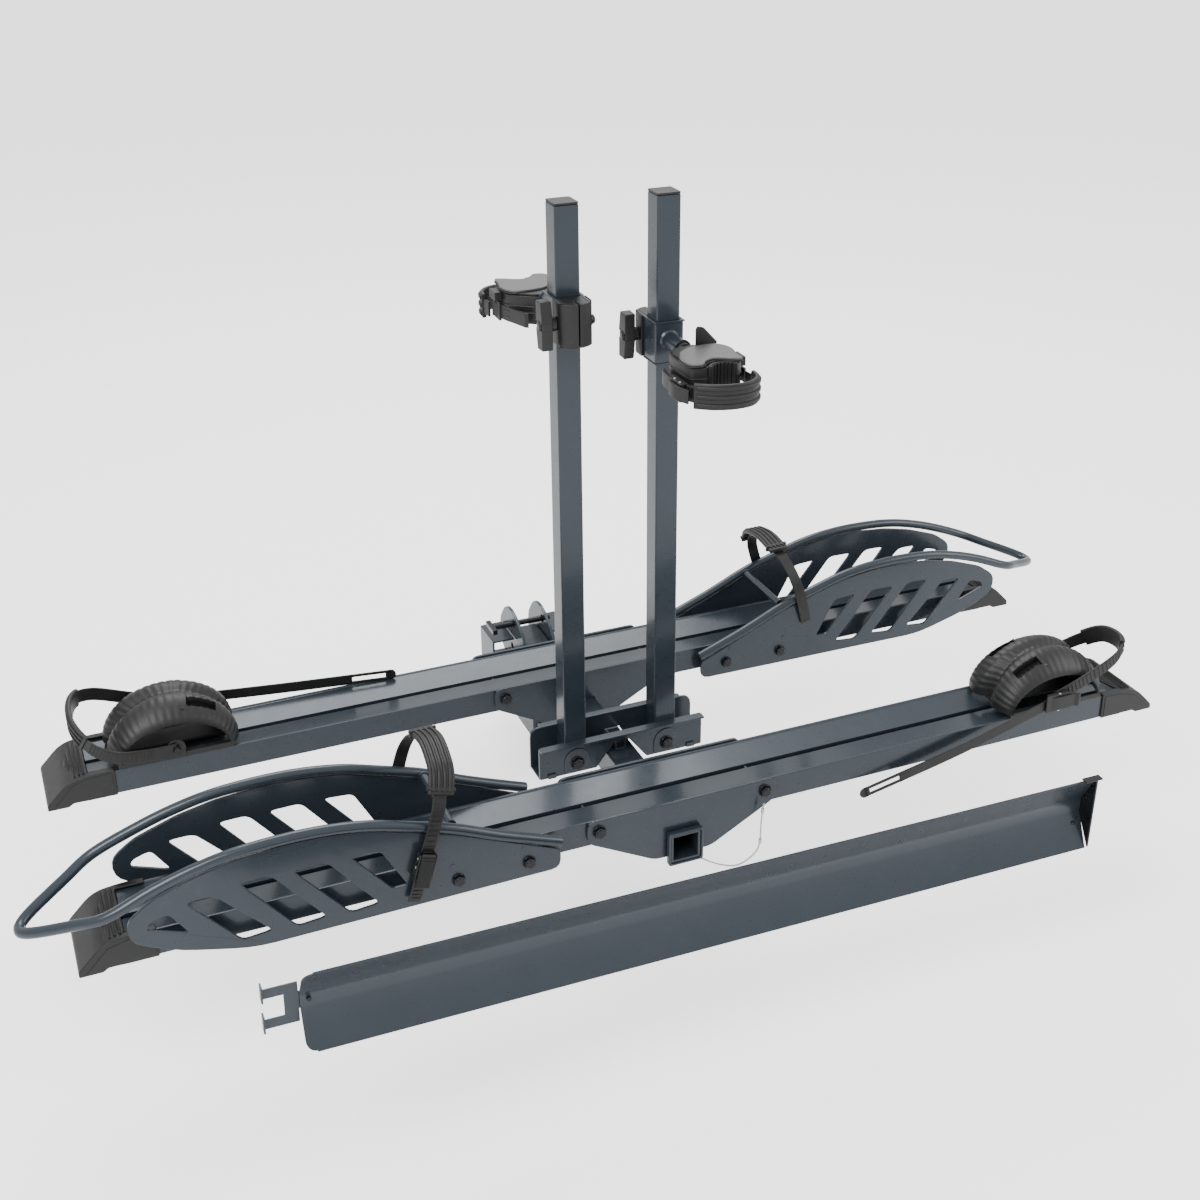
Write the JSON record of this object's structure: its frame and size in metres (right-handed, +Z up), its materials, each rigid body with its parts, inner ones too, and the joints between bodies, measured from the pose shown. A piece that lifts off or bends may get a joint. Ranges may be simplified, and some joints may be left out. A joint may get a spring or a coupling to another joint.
{
  "type": "hitch mounted bike rack",
  "caption": "Platform bike rack for a hitch receiver: tilting spine, wheel trays with hoops and cradles, folding mast posts with sliding frame clamps, a loading ramp and a locking hitch pin",
  "frame": {"origin": "centre of the hitch-pin hole in the shank", "axes": "+Z up, +Y towards the vehicle along the shank, +X along the wheel trays"},
  "size_m": [1.9676, 1.09, 1.1475],
  "materials": {
    "powder_coat": "satin slate blue powder coat",
    "black_plastic": "fine textured black moulding",
    "black_rubber": "matt black strap",
    "black_steel": "glossy black coated fasteners",
    "bright_steel": "nickel plated steel"
  },
  "bodies": {
    "hitch": {"hitch_shank": "powder_coat", "left_drop_plate": "powder_coat", "right_drop_plate": "powder_coat", "pivot_crossbox": "powder_coat", "pivot_bolt": "black_steel"},
    "tilt_stop_pin": {"tilt_stop_pin": "bright_steel"},
    "rack": {"spine_tube": "powder_coat", "spine_collar": "powder_coat", "front_tray": "powder_coat", "rear_tray": "powder_coat", "front_outer_bracket": "powder_coat", "front_inner_bracket": "powder_coat", "rear_outer_bracket": "powder_coat", "rear_inner_bracket": "powder_coat", "front_cap_hoop_end": "black_plastic", "front_cap_cradle_end": "black_plastic", "rear_cap_hoop_end": "black_plastic", "rear_cap_cradle_end": "black_plastic", "front_hoop_outer_plate": "powder_coat", "front_hoop_inner_plate": "powder_coat", "front_hoop_tube": "powder_coat", "front_hoop_cross_bar": "powder_coat", "rear_hoop_outer_plate": "powder_coat", "rear_hoop_inner_plate": "powder_coat", "rear_hoop_tube": "powder_coat", "rear_hoop_cross_bar": "powder_coat", "mast_front_plate": "powder_coat", "mast_back_plate": "powder_coat", "mast_seat": "powder_coat", "left_post_bolt": "black_steel", "right_post_bolt": "black_steel", "lanyard_cable": "bright_steel"},
    "left_post_body": {"left_post": "powder_coat", "left_post_cap": "black_plastic"},
    "right_post_body": {"right_post": "powder_coat", "right_post_cap": "black_plastic"},
    "left_clamp": {"left_clamp_bracket": "powder_coat", "left_clamp_jaw": "black_plastic"},
    "right_clamp": {"right_clamp_bracket": "powder_coat", "right_clamp_jaw": "black_plastic"},
    "left_knob": {"left_clamp_knob": "black_plastic"},
    "right_knob": {"right_clamp_knob": "black_plastic"},
    "left_claw_body": {"left_claw": "black_plastic"},
    "right_claw_body": {"right_claw": "black_plastic"},
    "left_claw_strap_body": {"left_claw_strap": "black_rubber"},
    "right_claw_strap_body": {"right_claw_strap": "black_rubber"},
    "front_cradle": {"front_cradle_saddle": "black_plastic"},
    "rear_cradle": {"rear_cradle_saddle": "black_plastic"},
    "front_cradle_strap_body": {"front_cradle_strap": "black_rubber"},
    "rear_cradle_strap_body": {"rear_cradle_strap": "black_rubber"},
    "front_hoop_strap_body": {"front_hoop_strap": "black_rubber", "front_hoop_strap_pad": "black_rubber"},
    "rear_hoop_strap_body": {"rear_hoop_strap": "black_rubber", "rear_hoop_strap_pad": "black_rubber"},
    "hitch_bolt_body": {"hitch_bolt": "black_steel"},
    "lock": {"lock_body": "black_plastic"},
    "key": {"lock_key": "bright_steel"},
    "ramp": {"ramp_sheet": "powder_coat", "ramp_hook": "powder_coat", "ramp_end_plate": "black_plastic"}
  },
  "joints": [
    {"name": "tilt_stop_pull", "type": "slide", "parent": "hitch", "child": "tilt_stop_pin", "axis": [-1, 0, 0], "range_m": [0, 0.07]},
    {"name": "tilt", "type": "hinge", "parent": "hitch", "child": "rack", "pos_m": [0, -0.14, 0.12], "axis": [1, 0, 0], "range_deg": [0, 25]},
    {"name": "left_post_fold", "type": "hinge", "parent": "rack", "child": "left_post_body", "pos_m": [-0.081, -0.528, 0.144], "axis": [0, -1, 0], "range_deg": [0, 55]},
    {"name": "right_post_fold", "type": "hinge", "parent": "rack", "child": "right_post_body", "pos_m": [0.081, -0.528, 0.144], "axis": [0, 1, 0], "range_deg": [0, 55]},
    {"name": "left_clamp_height", "type": "slide", "parent": "left_post_body", "child": "left_clamp", "axis": [0, 0, 1], "range_m": [-0.1, 0.12]},
    {"name": "right_clamp_height", "type": "slide", "parent": "right_post_body", "child": "right_clamp", "axis": [0, 0, 1], "range_m": [-0.1, 0.15]},
    {"name": "left_knob_turn", "type": "hinge", "parent": "left_clamp", "child": "left_knob", "pos_m": [-0.081, -0.565, 0.91], "axis": [1, 0, 0], "continuous": true},
    {"name": "right_knob_turn", "type": "hinge", "parent": "right_clamp", "child": "right_knob", "pos_m": [0.081, -0.491, 0.853], "axis": [1, 0, 0], "continuous": true},
    {"name": "left_claw_turn", "type": "hinge", "parent": "left_clamp", "child": "left_claw_body", "pos_m": [-0.081, -0.456, 0.914], "axis": [0, 1, 0], "range_deg": [-90, 90]},
    {"name": "right_claw_turn", "type": "hinge", "parent": "right_clamp", "child": "right_claw_body", "pos_m": [0.081, -0.6, 0.857], "axis": [0, 1, 0], "range_deg": [-90, 90]},
    {"name": "left_claw_strap_open", "type": "hinge", "parent": "left_claw_body", "child": "left_claw_strap_body", "pos_m": [-0.042, -0.438, 0.883], "axis": [0, 0, -1], "range_deg": [0, 60]},
    {"name": "right_claw_strap_open", "type": "hinge", "parent": "right_claw_body", "child": "right_claw_strap_body", "pos_m": [0.042, -0.618, 0.826], "axis": [0, 0, -1], "range_deg": [0, 60]},
    {"name": "front_cradle_slide", "type": "slide", "parent": "rack", "child": "front_cradle", "axis": [-1, 0, 0], "range_m": [0, 0.2]},
    {"name": "rear_cradle_slide", "type": "slide", "parent": "rack", "child": "rear_cradle", "axis": [1, 0, 0], "range_m": [0, 0.2]},
    {"name": "front_cradle_strap_open", "type": "hinge", "parent": "front_cradle", "child": "front_cradle_strap_body", "pos_m": [0.697, -0.6635, 0.217], "axis": [0, -1, 0], "range_deg": [0, 60]},
    {"name": "rear_cradle_strap_open", "type": "hinge", "parent": "rear_cradle", "child": "rear_cradle_strap_body", "pos_m": [-0.697, -0.3695, 0.217], "axis": [0, 1, 0], "range_deg": [0, 60]},
    {"name": "front_hoop_strap_open", "type": "hinge", "parent": "rack", "child": "front_hoop_strap_body", "pos_m": [-0.42, -0.647, 0.22], "axis": [0, 1, 0], "range_deg": [0, 30]},
    {"name": "rear_hoop_strap_open", "type": "hinge", "parent": "rack", "child": "rear_hoop_strap_body", "pos_m": [0.438, -0.386, 0.22], "axis": [0, -1, 0], "range_deg": [0, 30]},
    {"name": "hitch_bolt_turn", "type": "hinge", "parent": "hitch", "child": "hitch_bolt_body", "pos_m": [0, 0, 0], "axis": [1, 0, 0], "continuous": true},
    {"name": "lock_pull", "type": "slide", "parent": "hitch_bolt_body", "child": "lock", "axis": [1, 0, 0], "range_m": [0, 0.05]},
    {"name": "key_turn", "type": "hinge", "parent": "lock", "child": "key", "pos_m": [0.067, 0, -0.02], "axis": [0, 0, 1], "range_deg": [0, 90]},
    {"name": "ramp_lift", "type": "slide", "parent": "hitch", "child": "ramp", "axis": [0, 0, 1], "range_m": [0, 0.15]}
  ]
}
